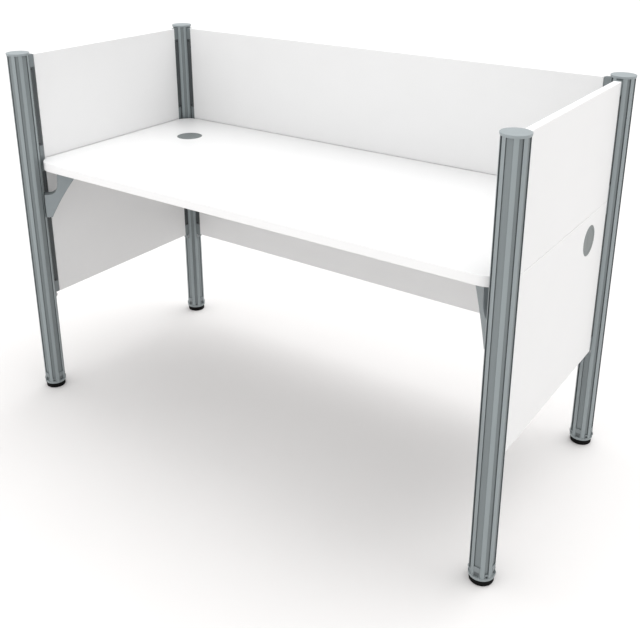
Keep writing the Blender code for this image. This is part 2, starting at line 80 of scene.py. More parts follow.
# Post section
CHANNEL_COUNT = 8
CHANNEL_STEP = 360 / CHANNEL_COUNT
WIDE_CHANNEL = 0.0164
NARROW_CHANNEL = 0.0094
CHANNEL_FLOOR = 0.0270  # post axis to the floor of a channel
BORE_RADIUS = 0.0220
RIB_POINTS = 8
LIP_ROUNDING = 0.0005
RELIEF_WIDTH = 0.0009  # fine groove along each side of a channel's floor
RELIEF_DEPTH = 0.0007

# Caps and collars
CAP_HEIGHT = 0.007
CAP_CROWN = 0.0005
CAP_CROWN_SHOULDER = (0.55, 0.3)  # shares of the radius, and of the crown's height lost there
CAP_MIDDLE = 0.001
CAP_RIM = 0.0012  # radius of the soft upper edge
CAP_RIM_POINTS = 6
CAP_TAPER = 0.0012
CAP_EDGE = 0.0004
COLLAR_FLANGE_HEIGHT = 0.007
COLLAR_RADIUS = 0.0318
COLLAR_EDGE = 0.0009
COLLAR_PLUG_HEIGHT = 0.029
WIDE_FINGER_HEIGHT = 0.028
NARROW_FINGER_HEIGHT = 0.011
FINGER_FACE = 0.0302
FINGER_BULGE = 0.0323
BULGE_HEIGHTS = (0.001, 0.006, 0.0105)
FINGER_ROUNDING = 0.0006
BULGE_ROUNDING = 0.002
WIDE_WINDOW_HEIGHT = 0.0135
NARROW_WINDOW_HEIGHT = 0.007
WINDOW_SILL = 0.0012
WINDOW_SIDE = 0.0012
WINDOW_ROUNDING = 0.0012
WINDOW_BACK = 0.0279  # post axis to the back of a window

# Levelling feet
STEM_RADIUS = 0.005
THREAD_PITCH = 0.0015
THREAD_DEPTH = 0.0006
THREAD_STEPS = 8  # rows of points to one pitch
STEM_STEPS = 32
KNURLS = 72
KNURL_DEPTH = 0.00035
KNURL_STEPS = 4  # points round one knurl
PAD_RINGS = 3
PAD_RING_DEPTH = 0.0007
PAD_RING_SHARE = 0.3  # of the pitch, cut away as a groove
PAD_CHAMFER = 0.0015
PAD_ROWS = 24
SOLE_SHARES = (0.80, 0.78)  # of the pad's radius: the flat sole's inner edge, and its dish
SOLE_DISH = 0.0008

# Panel edge hardware
CONNECTOR_EDGE = 0.0009
CONNECTOR_ROUNDING = 0.0035
CONNECTOR_POINTS = 8
LUG_RADIUS = 0.0080
LUG_AXIS = 0.0300
LUG_SWEEP = 150
LUG_POINTS = 20
STRIP_EDGE = 0.0006
STRIP_GROOVE = (0.0385, 0.0396)  # post axis to the two sides of the fine groove
STRIP_GROOVE_DEPTH = 0.0008
STRIP_SEAT = 0.0327  # post axis to the strip's face behind the seam connector
STRIP_SCREW_INSET = 0.006  # from the end of the strip
STRIP_SCREW_OUT = 0.0345
STRIP_SCREW_RADIUS = 0.0026
LUG_SCREW_OUT = 0.0310
LUG_SCREW_RADIUS = 0.0046
SCREW_HEIGHT = 0.0008
SCREW_SINK = 0.0006  # how far a screw's underside lies below the face round it
SCREW_STEPS = 32
SCREW_MIDDLE = 0.0002
SOCKET_SIDES = 6
SOCKET_SHARE = 0.55  # a socket's width across its corners, to the head's

# Boards
DESK_CORNER_RADIUS = 0.054
DESK_EDGE_ROUNDING = 0.0020
PANEL_EDGE_ROUNDING = 0.0009
CORNER_POINTS = 24

# Corner brackets
BRACKET_THICKNESS = 0.030
BRACKET_SHOULDER_Z = 0.653
BRACKET_HEEL = 0.0310
BRACKET_TOE = 0.049
BRACKET_ARM_INNER = 0.074
BRACKET_ARM_LEAN = 0.002
BRACKET_ARM_OUTER = 0.148
BRACKET_SWEEP = (0.085, 0.655)
BRACKET_CROOK = (0.071, 0.653)
BRACKET_CROOK_START = 0.044
BRACKET_CROOK_END_Z = 0.690
BRACKET_CURVE_POINTS = 24
BRACKET_EDGE = 0.0016
BRACKET_TONGUE_MARGIN = 0.002

# Cable grommets
GROMMET_HOLE_RADIUS = 0.0350
GROMMET_FLANGE_HEIGHT = 0.0022
GROMMET_SINK = 0.0002
GROMMET_WALL = 0.0028
GROMMET_LEDGE = 0.0030
GROMMET_LEDGE_DEPTH = 0.0030
GROMMET_LEDGE_HEIGHT = 0.0015
GROMMET_EDGE = 0.0006
FLAP_LINE_OFFSET = 0.011  # lid's centre to the middle of the flap's line
FLAP_LINE_RADIUS = 0.060
FLAP_LINE_HALF_ANGLE = 19  # degrees
FLAP_LINE_WIDTH = 0.0008
FLAP_LINE_DEPTH = 0.0007
FLAP_LINE_POINTS = 16

# Finishes: base colours, and the darker copies of one colour that paint shade on a piece's recessed
# faces
COLOURS = {
    "aluminium": (0.285, 0.322, 0.332),
    "casting": (0.245, 0.275, 0.287),
    "connector": (0.200, 0.225, 0.232),
    "cap": (0.275, 0.310, 0.322),
    "collar": (0.245, 0.275, 0.283),
    "strip": (0.064, 0.072, 0.075),
    "pad": (0.0035, 0.0035, 0.0035),
    "grommet": (0.165, 0.185, 0.185),
    "zinc": (0.60, 0.61, 0.62),
    "black_steel": (0.05, 0.05, 0.05),
    "laminate": (0.78, 0.78, 0.78),
    "edge_band": (0.84, 0.84, 0.84),
    "floor": (0.745, 0.733, 0.727),
}
# Painted shade: darker copies of a colour for the channels' floors and sides, the collars' fingers and
# their window backs
CHANNEL_FLOOR_PAINTED_SHADE = 0.74
CHANNEL_SIDE_PAINTED_SHADE = 0.42
# Painted shade on the collars' fingers down in the channels, and darker painted shade on their window
# backs
FINGER_PAINTED_SHADE = 0.80
RECESS_PAINTED_SHADE = 0.45
EDGE_WEAR = (0.995, 0.90)  # cosines of the normals' turn where an edge's wear starts, and is full
EDGE_SAMPLES = 6

# Camera
CAMERA_AZIMUTH = 34.93
CAMERA_ELEVATION = 20.19
CAMERA_DISTANCE = 2.549
CAMERA_TARGET_OFFSET = (0.019, 0.058, 0.101)  # from the middle of the object
CAMERA_LENS = 49.6
CAMERA_SHIFT_Y = -0.16

# Floor and light
FLOOR_SIZE = 80.0
FLOOR_BLOTCHES = 2  # to the metre
FLOOR_SHADES = (0.9933, 1.0067)  # the floor's darkest and palest, to its colour
WORLD_LEAN = (-0.2, -0.15, 1.0)  # the world grows brighter along this direction
WORLD_START = -0.25  # how far along it the world is darkest; it is brightest at 1
WORLD_DARKEST = 0.42
WORLD_BRIGHTEST = 1.50
SUN_DIRECTION = (-0.30, -0.55, -1.0)
SUN_SOFTNESS = 60  # degrees
SUN_STRENGTH = 1.20
SOFT_BOX_TARGET = (0.0, 0.0, 0.6)
# Each soft box: its place, its width and height, and its power in watts
SOFT_BOXES = {
    "front": ((-0.8, -4.3, 2.0), (3.4, 2.4), 12),
    "left": ((-4.2, -0.6, 1.6), (2.4, 2.4), 4),
}

CORNERS = ("left_front", "right_front", "left_rear", "right_rear")
# Each panel edge: the post it meets, and the heading from that post towards the panel
PANEL_EDGES = {
    "left_front": ("left_front", 90),
    "left_rear": ("left_rear", -90),
    "back_left": ("left_rear", 0),
    "back_right": ("right_rear", 180),
    "right_front": ("right_front", 90),
    "right_rear": ("right_rear", -90),
}
INWARD_HEADING = {"left_front": 45, "right_front": 135, "left_rear": -45, "right_rear": -135}


# Shape helpers

def temporary_object(data):
    obj = bpy.data.objects.new("shape", data)
    bpy.context.scene.collection.objects.link(obj)
    return obj


def weld(mesh):
    shape = bmesh.new()
    shape.from_mesh(mesh)
    bmesh.ops.remove_doubles(shape, verts=shape.verts, dist=WELD_DISTANCE)
    bmesh.ops.recalc_face_normals(shape, faces=shape.faces)
    shape.to_mesh(mesh)
    shape.free()
    return mesh


def as_mesh(obj):
    """The object's evaluated shape as a plain mesh; the object itself is removed."""
    evaluated = obj.evaluated_get(bpy.context.evaluated_depsgraph_get())
    mesh = bpy.data.meshes.new_from_object(evaluated)
    bpy.data.objects.remove(obj, do_unlink=True)
    return weld(mesh)


def slab(outlines, low, high, edge=0.0):
    """Closed outlines in XY, filled and raised from low to high, with their rims rounded."""
    curve = bpy.data.curves.new("outline", "CURVE")
    curve.dimensions = "2D"
    curve.fill_mode = "BOTH"
    curve.extrude = (high - low) / 2 - edge
    curve.bevel_depth = edge
    curve.bevel_resolution = 2
    curve.offset = -edge
    for outline in outlines:
        spline = curve.splines.new("POLY")
        spline.points.add(len(outline) - 1)
        for point, (x, y) in zip(spline.points, outline):
            point.co = (x, y, 0, 1)
        spline.use_cyclic_u = True
    mesh = as_mesh(temporary_object(curve))
    mesh.transform(Matrix.Translation((0, 0, (low + high) / 2)))
    return mesh


def upright(outline, thickness, edge=0.0):
    """A slab of (outward, height) points, stood up in the XZ plane about Y = 0."""
    mesh = slab([outline], -thickness / 2, thickness / 2, edge)
    mesh.transform(Matrix.Rotation(math.radians(90), 4, "X"))
    return mesh


def grid_solid(rows, closed=False):
    """Rings of points, joined row to row. A closed one joins its last ring to its first."""
    shape = bmesh.new()
    rings = [[shape.verts.new(point) for point in row] for row in rows]
    pairs = list(zip(rings, rings[1:]))
    if closed:
        pairs.append((rings[-1], rings[0]))
    for upper, lower in pairs:
        for i in range(len(upper)):
            j = (i + 1) % len(upper)
            shape.faces.new((upper[i], upper[j], lower[j], lower[i]))
    if not closed:
        shape.faces.new(rings[0])
        shape.faces.new(rings[-1])
    mesh = bpy.data.meshes.new("grid")
    shape.to_mesh(mesh)
    shape.free()
    return weld(mesh)


def ring(radius, height, steps=TURN_STEPS):
    angles = [math.tau * i / steps for i in range(steps)]
    return [(radius * math.cos(a), radius * math.sin(a), height) for a in angles]


def turned(profile, closed=False, steps=TURN_STEPS):
    """A (radius, height) profile spun about Z."""
    return grid_solid([ring(radius, height, steps) for radius, height in profile], closed)


def boolean(mesh, operand, operation):
    body = temporary_object(mesh)
    tool = temporary_object(operand)
    modifier = body.modifiers.new("boolean", "BOOLEAN")
    modifier.operation = operation
    modifier.object = tool
    result = as_mesh(body)
    bpy.data.objects.remove(tool, do_unlink=True)
    return result


def joined(meshes):
    shape = bmesh.new()
    for mesh in meshes:
        shape.from_mesh(mesh)
    mesh = bpy.data.meshes.new("joined")
    shape.to_mesh(mesh)
    shape.free()
    return mesh


def moved(mesh, location=(0, 0, 0), heading=0.0):
    """A copy of the mesh, turned about Z and shifted."""
    copy = mesh.copy()
    copy.transform(Matrix.Translation(location) @ Matrix.Rotation(math.radians(heading), 4, "Z"))
    return copy


def arc(centre, radius, first, last, count):
    """Points on an arc, from one angle to another in degrees, both ends included."""
    points = []
    for i in range(count):
        angle = math.radians(first + (last - first) * i / (count - 1))
        points.append((centre[0] + radius * math.cos(angle), centre[1] + radius * math.sin(angle)))
    return points


def bezier(start, pull, end, count):
    """Points after the start of a quadratic curve, up to and including its end."""
    points = []
    for i in range(1, count + 1):
        t = i / count
        weights = ((1 - t) ** 2, 2 * t * (1 - t), t**2)
        points.append(tuple(
            weights[0] * a + weights[1] * b + weights[2] * c for a, b, c in zip(start, pull, end)))
    return points


def circle(radius, count):
    return arc((0, 0), radius, 0, 360 - 360 / count, count)


def round_corners(outline, radius):
    """The closed outline with each sharp corner drawn as a small curve."""
    points = [Vector(point) for point in outline]
    result = []
    for i, corner in enumerate(points):
        back = points[i - 1] - corner
        ahead = points[(i + 1) % len(points)] - corner
        if math.pi - back.angle(ahead) < CORNER_ANGLE:
            result.append(tuple(corner))
            continue
        start = corner + back.normalized() * min(radius, ROUNDING_SHARE * back.length)
        end = corner + ahead.normalized() * min(radius, ROUNDING_SHARE * ahead.length)
        result.append(tuple(start))
        result += bezier(start, corner, end, ROUNDING_STEPS)
    return result


def outward_share(polygon):
    """How squarely a face looks away from the Z axis, from -1 to 1."""
    return polygon.normal.xy.dot(polygon.center.xy) / polygon.center.xy.length


def centre_of(node):
    low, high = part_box(node)
    return (low + high) / 2


def post_axis(corner):
    centre = centre_of(f"post_{corner}")
    return Vector((centre.x, centre.y, 0))


def local_box(node, corner, heading):
    """The node's box as seen from its post's axis: outward along the heading, across it, and up."""
    turn = Matrix.Rotation(math.radians(-heading), 3, "Z")
    low, high = (turn @ (point - post_axis(corner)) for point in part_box(node))
    return Vector(map(min, low, high)), Vector(map(max, low, high))


def add_piece(name, mesh, finish, node=None, body=CARREL, slot=None, location=(0, 0, 0), heading=0):
    """A finished piece in its place; it rides on its body and stands for its CAD node."""
    data = mesh.copy()
    data.name = name
    marks = [polygon.material_index for polygon in data.polygons]
    data.materials.clear()  # also sets every face back to the first material
    for material in finish if isinstance(finish, tuple) else (finish,):
        data.materials.append(material)
    data.polygons.foreach_set("material_index", marks)
    data.shade_smooth()
    data.set_sharp_from_angle(angle=SHARP_ANGLE)
    piece = bpy.data.objects.new(name, data)
    bpy.context.scene.collection.objects.link(piece)
    piece.location = location
    piece.rotation_euler.z = math.radians(heading)
    normals = piece.modifiers.new("normals", "WEIGHTED_NORMAL")
    normals.keep_sharp = True
    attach(piece, body)
    if node:
        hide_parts(node)
    return piece


# Finishes

class Finish:
    """A node material in the making, with its patterns in object space."""

    def __init__(self, name, roughness=0.5, metallic=0.0):
        self.material = bpy.data.materials.new(name)
        self.material.use_nodes = True
        self.nodes = self.material.node_tree.nodes
        self.links = self.material.node_tree.links
        self.shader = self.nodes["Principled BSDF"]
        self.shader.inputs["Roughness"].default_value = roughness
        self.shader.inputs["Metallic"].default_value = metallic
        self.place = self.nodes.new("ShaderNodeTexCoord").outputs["Object"]

    def node(self, kind, settings=None, **inputs):
        made = self.nodes.new(kind)
        for key, value in (settings or {}).items():
            setattr(made, key, value)
        for key, value in inputs.items():
            socket = made.inputs[int(key[1:]) if key[0] == "_" else key.replace("_", " ")]
            if isinstance(value, bpy.types.NodeSocket):
                self.links.new(value, socket)
            else:
                socket.default_value = value
        return made

    def noise(self, scale, stretch=(1, 1, 1), detail=2.0):
        """A noise from 0 to 1; scale is in features a metre, and stretch multiplies it by axis."""
        place = self.node("ShaderNodeMapping", Vector=self.place, Scale=stretch).outputs[0]
        made = self.node("ShaderNodeTexNoise", Vector=place, Scale=scale, Detail=detail)
        return made.outputs[0]

    def spread(self, value, low, high, start=0.25, end=0.75):
        """The value from start to end, as one from low to high."""
        return self.node(
            "ShaderNodeMapRange", _0=value, _1=start, _2=end, _3=low, _4=high).outputs[0]

    def multiply(self, first, second):
        return self.node("ShaderNodeMath", {"operation": "MULTIPLY"}, _0=first, _1=second).outputs[0]

    def mix(self, share, first, second):
        made = self.node("ShaderNodeMix", {"data_type": "RGBA"}, _0=share)
        for index, colour in ((6, first), (7, second)):
            if isinstance(colour, bpy.types.NodeSocket):
                self.links.new(colour, made.inputs[index])
            else:
                made.inputs[index].default_value = (*colour, 1)
        return made.outputs[2]

    def edges(self, radius):
        """1 within the radius of an edge, 0 on flat faces."""
        soft = self.node("ShaderNodeBevel", {"samples": EDGE_SAMPLES}, Radius=radius).outputs[0]
        true = self.node("ShaderNodeNewGeometry").outputs["Normal"]
        dot = self.node("ShaderNodeVectorMath", {"operation": "DOT_PRODUCT"}, _0=soft, _1=true)
        return self.spread(dot.outputs["Value"], 0, 1, *EDGE_WEAR)

    def set(self, socket, value):
        self.links.new(value, self.shader.inputs[socket])

    def bump(self, *layers):
        """Layers are (height, distance) pairs, the finest last."""
        normal = None
        for height, distance in layers:
            made = self.node("ShaderNodeBump", Height=height, Distance=distance)
            if normal:
                self.links.new(normal, made.inputs["Normal"])
            normal = made.outputs[0]
        self.set("Normal", normal)


def shade(colour, factor):
    return tuple(channel * factor for channel in colour)


def extruded_metal(name, colour, roughness=0.40):
    """Satin metal with fine lines along its length, faint clouding and rubbed edges."""
    finish = Finish(name, metallic=0.45)
    lines = finish.noise(1400, (1, 1, 0.004), detail=3)
    clouds = finish.noise(14, (1, 1, 0.25), detail=4)
    rubs = finish.multiply(finish.edges(0.0007), finish.spread(finish.noise(260), 0.15, 0.7))
    base = finish.mix(finish.spread(clouds, 0, 1), shade(colour, 0.95), shade(colour, 1.05))
    base = finish.mix(finish.spread(lines, 0, 0.45), base, shade(colour, 0.90))
    finish.set("Base Color", finish.mix(rubs, base, shade(colour, 1.25)))
    finish.set("Roughness", finish.spread(lines, roughness - 0.05, roughness + 0.07))
    finish.bump((lines, 0.00002))
    return finish.material


def coated_metal(name, colour):
    """Powder-coated casting: fine orange peel, slightly rubbed edges."""
    finish = Finish(name, metallic=0.25)
    peel = finish.noise(1500, detail=1.5)
    clouds = finish.noise(30, detail=4)
    rubs = finish.multiply(finish.edges(0.0008), finish.spread(finish.noise(300), 0.1, 0.6))
    base = finish.mix(finish.spread(clouds, 0, 1), shade(colour, 0.94), shade(colour, 1.05))
    finish.set("Base Color", finish.mix(rubs, base, shade(colour, 1.3)))
    finish.set("Roughness", finish.spread(clouds, 0.42, 0.52))
    finish.bump((peel, 0.00004))
    return finish.material


def moulded_plastic(name, colour, roughness, rubs=0.55, shine=0.5):
    """Moulded plastic with a fine grain, a faint cloud of gloss and paler edges."""
    finish = Finish(name)
    finish.shader.inputs["Specular IOR Level"].default_value = shine
    texture = finish.noise(2600, detail=2)
    clouds = finish.noise(45, detail=3)
    base = finish.mix(finish.spread(clouds, 0, 1), shade(colour, 0.95), shade(colour, 1.05))
    if rubs:
        worn = finish.multiply(finish.edges(0.0006), finish.spread(finish.noise(400), 0.1, rubs))
        base = finish.mix(worn, base, shade(colour, 1.35))
    finish.set("Base Color", base)
    finish.set("Roughness", finish.spread(clouds, *roughness))
    finish.bump((texture, 0.00005))
    return finish.material


def laminate(name, colour, roughness):
    """White board facing: a very fine pebble, soft sheen and the faintest mottling."""
    finish = Finish(name)
    pebble = finish.noise(1900, detail=2)
    waves = finish.noise(9, detail=3)
    specks = finish.noise(420, detail=2)
    base = finish.mix(finish.spread(waves, 0, 1), shade(colour, 0.988), shade(colour, 1.0))
    base = finish.mix(finish.spread(specks, 0, 0.25, start=0.6), base, shade(colour, 0.95))
    finish.set("Base Color", base)
    finish.set("Roughness", finish.spread(pebble, *roughness))
    finish.bump((waves, 0.00015), (pebble, 0.00003))
    return finish.material


def threaded_steel(name, colour):
    """Bright zinc with cloudy passivation."""
    finish = Finish(name, metallic=1.0)
    clouds = finish.noise(160, detail=5)
    scratches = finish.noise(3000, (1, 1, 0.1), detail=2)
    base = finish.mix(finish.spread(clouds, 0, 1), shade(colour, 0.8), colour)
    finish.set("Base Color", base)
    finish.set("Roughness", finish.spread(clouds, 0.28, 0.45))
    finish.bump((scratches, 0.00002))
    return finish.material


# Posts and their ends

def post_outline(radius):
    """The post's section: a rib, then a channel with a fine groove in each corner, eight times."""
    outline = []
    floor, relief = CHANNEL_FLOOR, CHANNEL_FLOOR - RELIEF_DEPTH
    step = math.tau / CHANNEL_COUNT
    for i in range(CHANNEL_COUNT):
        heading = step * i
        half = (NARROW_CHANNEL if i % 2 else WIDE_CHANNEL) / 2
        next_half = (WIDE_CHANNEL if i % 2 else NARROW_CHANNEL) / 2
        inner = half - RELIEF_WIDTH
        lip = math.sqrt(radius**2 - half**2)
        channel = [(lip, half), (relief, half), (relief, inner), (floor, inner)]
        channel = [(out, -across) for out, across in channel] + channel[::-1]
        for out, across in channel:
            outline.append((
                out * math.cos(heading) - across * math.sin(heading),
                out * math.sin(heading) + across * math.cos(heading)))
        first = math.degrees(heading + math.asin(half / radius))
        last = math.degrees(heading + step - math.asin(next_half / radius))
        outline += arc((0, 0), radius, first, last, RIB_POINTS + 2)[1:-1]
    return round_corners(outline, LIP_ROUNDING)


def mark_channel_painted_shade(mesh, radius):
    """Gives the second material, painted shade, to the floors of the channels, and the third, darker
    painted shade, to their sides.
    """
    wall = (BORE_RADIUS + CHANNEL_FLOOR) / 2
    for polygon in mesh.polygons:
        is_wall = abs(polygon.normal.z) < MOSTLY
        if is_wall and wall < polygon.center.xy.length < radius - LIP_ROUNDING:
            polygon.material_index = 1 if outward_share(polygon) > SQUARE else 2


def make_posts(rib, floor, side):
    low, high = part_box("post_left_front")
    # The box spans the lips of the wide channels, which lie square to it
    lip = (high.x - low.x) / 2
    radius = math.hypot(lip, WIDE_CHANNEL / 2)
    mesh = slab([post_outline(radius), circle(BORE_RADIUS, TURN_STEPS)], low.z, high.z)
    # The channels' floors and sides take darker copies of the metal: painted shade
    mark_channel_painted_shade(mesh, radius)
    for corner in CORNERS:
        node = f"post_{corner}"
        add_piece(f"fluted_{node}", mesh, (rib, floor, side), node, slot="aluminium",
                  location=post_axis(corner))


def make_caps(finish):
    low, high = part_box("post_cap_left_front")
    radius = (high.x - low.x) / 2
    plug = BORE_RADIUS - GAP
    under = high.z - CAP_HEIGHT
    rim_z = high.z - CAP_CROWN - CAP_RIM
    shoulder_out, shoulder_drop = CAP_CROWN_SHOULDER
    profile = [(CAP_MIDDLE, high.z), (radius * shoulder_out, high.z - CAP_CROWN * shoulder_drop)]
    profile += arc((radius - CAP_RIM, rim_z), CAP_RIM, 90, 0, CAP_RIM_POINTS)
    profile += [
        (radius - CAP_TAPER + CAP_EDGE, under + CAP_EDGE),
        (radius - CAP_TAPER, under),
        (plug, under),
        (plug, low.z + CAP_RIM),
        (plug - CAP_RIM, low.z),
        (CAP_MIDDLE, low.z),
    ]
    mesh = turned(profile)
    for corner in CORNERS:
        node = f"post_cap_{corner}"
        add_piece(f"crowned_{node}", mesh, finish, node, slot="cap_grey", location=post_axis(corner))


def channel_size(i):
    """The width that fits the i-th channel, and the heights of its finger and window."""
    if i % 2:
        return NARROW_CHANNEL - 2 * GAP, NARROW_FINGER_HEIGHT, NARROW_WINDOW_HEIGHT
    return WIDE_CHANNEL - 2 * GAP, WIDE_FINGER_HEIGHT, WIDE_WINDOW_HEIGHT


def collar_finger(i, base):
    """A finger up a channel: it swells above the flange, and has softened edges."""
    width, height, _ = channel_size(i)
    start, thin, end = (base + height for height in BULGE_HEIGHTS)
    seat = CHANNEL_FLOOR + GAP
    root = base - COLLAR_FLANGE_HEIGHT / 2
    outline = [
        (seat, root),
        (FINGER_FACE, root),
        (FINGER_BULGE, start),
        (FINGER_BULGE, thin),
        (FINGER_FACE, end),
        (FINGER_FACE, base + height),
        (seat, base + height),
    ]
    finger = upright(round_corners(outline, BULGE_ROUNDING), width, FINGER_ROUNDING)
    return moved(finger, heading=CHANNEL_STEP * i)


def collar_window(i, base):
    """A round-cornered block that sinks a window into a finger."""
    width, _, height = channel_size(i)
    half = width / 2 - WINDOW_SIDE
    low = base + WINDOW_SILL
    opening = [(-half, low), (half, low), (half, low + height), (-half, low + height)]
    block = slab([round_corners(opening, WINDOW_ROUNDING)], WINDOW_BACK, FINGER_BULGE + CUT_MARGIN)
    # Stood up: the outline's X and Y become Y and Z, and its thickness runs outward
    block.transform(Matrix(((0, 0, 1, 0), (1, 0, 0, 0), (0, 1, 0, 0), (0, 0, 0, 1))))
    return moved(block, heading=CHANNEL_STEP * i)


def mark_finger_painted_shade(mesh, base):
    """Gives the second material, painted shade, to the fingers' faces and sides, and the third, darker
    painted shade, to windows' backs.
    """
    for polygon in mesh.polygons:
        out = polygon.center.xy.length
        if polygon.center.z < base + GAP or out < CHANNEL_FLOOR + 2 * GAP:
            continue
        faces_out = outward_share(polygon) > MOSTLY
        if faces_out and out > FINGER_FACE - GAP:
            polygon.material_index = 1
        elif out < FINGER_FACE - FINGER_ROUNDING:
            polygon.material_index = 2 if faces_out else 1


def make_collars(rim, finger, recess_painted_shade):
    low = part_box("foot_collar_left_front")[0].z
    base = low + COLLAR_FLANGE_HEIGHT
    plug = BORE_RADIUS - GAP
    hole = STEM_RADIUS + GAP
    edge = COLLAR_EDGE
    profile = [(hole, low + COLLAR_PLUG_HEIGHT), (plug - edge, low + COLLAR_PLUG_HEIGHT)]
    profile += [(plug, low + COLLAR_PLUG_HEIGHT - edge), (plug, base)]
    profile += arc((COLLAR_RADIUS - edge, base - edge), edge, 90, 0, RIM_POINTS)
    profile += arc((COLLAR_RADIUS - edge, low + edge), edge, 0, -90, RIM_POINTS)
    profile.append((hole, low))
    fingers = joined([collar_finger(i, base) for i in range(CHANNEL_COUNT)])
    windows = joined([collar_window(i, base) for i in range(CHANNEL_COUNT)])
    mesh = boolean(boolean(turned(profile, closed=True), fingers, "UNION"), windows, "DIFFERENCE")
    # The fingers and the window backs take darker copies of the collar's colour: painted shade
    mark_finger_painted_shade(mesh, base)
    for corner in CORNERS:
        node = f"foot_collar_{corner}"
        add_piece(f"fingered_{node}", mesh, (rim, finger, recess_painted_shade), node, slot="cap_grey",
                  location=post_axis(corner))


def pad_rim(radius, low, high):
    """Rows of a rim with ring grooves and fine knurls between them, top to bottom."""
    steps = KNURLS * KNURL_STEPS
    rows = []
    for i in range(PAD_ROWS + 1):
        share = i / PAD_ROWS
        height = high + (low - high) * share
        phase = share * PAD_RINGS % 1
        grooved = phase > 1 - PAD_RING_SHARE and share < 1
        depth = PAD_RING_DEPTH if grooved else 0
        row = []
        for j in range(steps):
            knurl = KNURL_DEPTH * (0.5 - 0.5 * math.cos(math.tau * j / KNURL_STEPS))
            out = radius - max(depth, knurl)
            angle = math.tau * j / steps
            row.append((out * math.cos(angle), out * math.sin(angle), height))
        rows.append(row)
    return rows


def make_pads(finish):
    low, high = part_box("foot_pad_left_front")
    radius = (high.x - low.x) / 2
    stem_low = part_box("foot_stem_left_front")[0].z
    steps = KNURLS * KNURL_STEPS
    hole = STEM_RADIUS + GAP
    inner = [ring(r, z, steps) for r, z in (
        (hole, stem_low - GAP),
        (hole, high.z),
        (radius - PAD_CHAMFER, high.z),
    )]
    rim = pad_rim(radius, PAD_CHAMFER, high.z - PAD_CHAMFER / 2)
    flat_share, dish_share = SOLE_SHARES
    sole = [ring(r, z, steps) for r, z in (
        (radius - PAD_CHAMFER, 0),
        (radius * flat_share, 0),
        (radius * dish_share, SOLE_DISH),
    )]
    mesh = grid_solid(inner + rim + sole)
    for corner in CORNERS:
        node = f"foot_pad_{corner}"
        add_piece(f"knurled_{node}", mesh, finish, node, node, "black_plastic", post_axis(corner))


def make_stems(finish):
    low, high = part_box("foot_stem_left_front")
    rows = []
    count = int((high.z - low.z) / THREAD_PITCH * THREAD_STEPS)
    for i in range(count + 1):
        height = high.z + (low.z - high.z) * i / count
        ends = min(i, count - i) < THREAD_STEPS  # the thread runs out at both ends
        row = []
        for j in range(STEM_STEPS):
            turn = (height / THREAD_PITCH - j / STEM_STEPS) % 1
            depth = THREAD_DEPTH if ends else THREAD_DEPTH * abs(2 * turn - 1)
            angle = math.tau * j / STEM_STEPS
            out = STEM_RADIUS - depth
            row.append((out * math.cos(angle), out * math.sin(angle), height))
        rows.append(row)
    mesh = grid_solid(rows)
    for corner in CORNERS:
        node = f"foot_stem_{corner}"
        add_piece(f"threaded_{node}", mesh, finish, node, node, "zinc_steel", post_axis(corner))


# Panel edge hardware

def screw_mesh(radius):
    """A low screw head with a six-sided socket, its underside at Z = 0."""
    height = SCREW_HEIGHT + SCREW_SINK
    edge = SCREW_HEIGHT / 2
    profile = [(SCREW_MIDDLE, height)]
    profile += arc((radius - edge, height - edge), edge, 90, 0, FINE_RIM_POINTS)
    profile += [(radius, 0), (SCREW_MIDDLE, 0)]
    cutter = slab([circle(radius * SOCKET_SHARE, SOCKET_SIDES)], height / 3, height + CUT_MARGIN)
    return boolean(turned(profile, steps=SCREW_STEPS), cutter, "DIFFERENCE")


def screws_on_both_faces(radius, half_width, spots):
    """Screw heads at (outward, height) spots, on both flat faces of a piece."""
    head = screw_mesh(radius)
    heads = []
    for side in (1, -1):
        # Turned from facing up to facing across
        stand = Matrix.Rotation(math.radians(-90 * side), 4, "X")
        for out, height in spots:
            copy = head.copy()
            copy.transform(Matrix.Translation((out, side * (half_width - SCREW_SINK), height)) @ stand)
            heads.append(copy)
    return joined(heads)


def top_connector(low, high):
    corner = (high.x, high.z)
    outline = [(low.x, low.z), (high.x, low.z), (high.x, high.z - CONNECTOR_ROUNDING)]
    rounding_end = (high.x - CONNECTOR_ROUNDING, high.z)
    outline += bezier(outline[-1], corner, rounding_end, CONNECTOR_POINTS)
    outline.append((low.x, high.z))
    return upright(outline, high.y - low.y, CONNECTOR_EDGE)


def seam_connector(low, high):
    outline = [(low.x, low.z), (high.x, low.z), (high.x, high.z), (low.x, high.z)]
    return upright(round_corners(outline, CONNECTOR_EDGE), high.y - low.y, CONNECTOR_EDGE)


def bottom_connector(low, high):
    """A block beside the panel's lower corner, with a round-nosed lug that hangs below it."""
    nose_z = low.z + LUG_RADIUS
    shelf_z = nose_z + LUG_RADIUS
    outline = [(low.x, high.z), (low.x, low.z)]
    outline += arc((LUG_AXIS, nose_z), LUG_RADIUS, -90, LUG_SWEEP - 90, LUG_POINTS)
    outline += [(LUG_AXIS + LUG_RADIUS / 2, shelf_z), (high.x, shelf_z), (high.x, high.z)]
    return upright(outline, high.y - low.y, CONNECTOR_EDGE)


def filler_strip(low, high, seam_low, seam_high):
    """Two long grooved strips, and a thin one between them behind the seam connector."""
    half = high.y
    groove_in, groove_out = STRIP_GROOVE
    floor = half - STRIP_GROOVE_DEPTH
    side = [
        (low.x, half),
        (groove_in, half),
        (groove_in, floor),
        (groove_out, floor),
        (groove_out, half),
        (high.x, half),
    ]
    section = [(out, -across) for out, across in side] + side[::-1]
    section = round_corners(section, STRIP_EDGE)
    thin = [(low.x, -half), (STRIP_SEAT, -half), (STRIP_SEAT, half), (low.x, half)]
    return joined([
        slab([section], low.z, seam_low - GAP),
        slab([thin], seam_low, seam_high),
        slab([section], seam_high + GAP, high.z),
    ])


